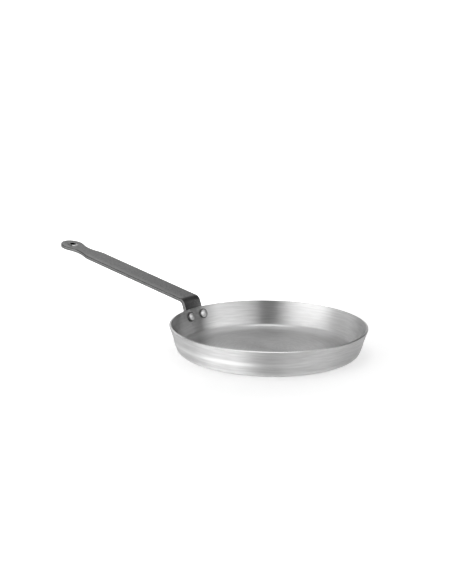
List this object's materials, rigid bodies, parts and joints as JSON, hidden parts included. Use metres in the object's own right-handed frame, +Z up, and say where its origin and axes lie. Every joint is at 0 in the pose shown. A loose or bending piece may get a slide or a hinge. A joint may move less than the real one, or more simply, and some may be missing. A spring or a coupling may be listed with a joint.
{
  "type": "pancake pan",
  "caption": "Shallow round steel pan with a flat base, a low flared wall and a long flat strap handle riveted to the outside of the wall, with a hanging hole in its round end.",
  "frame": {"origin": "centre of the flat base, on the surface that the pan stands on", "axes": "+Z up out of the dish, +X along the handle away from the dish, Y across the handle"},
  "size_m": [0.4672, 0.2394, 0.0839],
  "materials": {
    "dish_steel": "brushed in rings, satin",
    "handle_steel": "dark, dull, as rolled and tumbled",
    "rivet_steel": "bright, smooth"
  },
  "bodies": {
    "root": {"pan_body": "dish_steel", "handle": "handle_steel", "rivet_left": "rivet_steel", "rivet_right": "rivet_steel"}
  },
  "joints": []
}
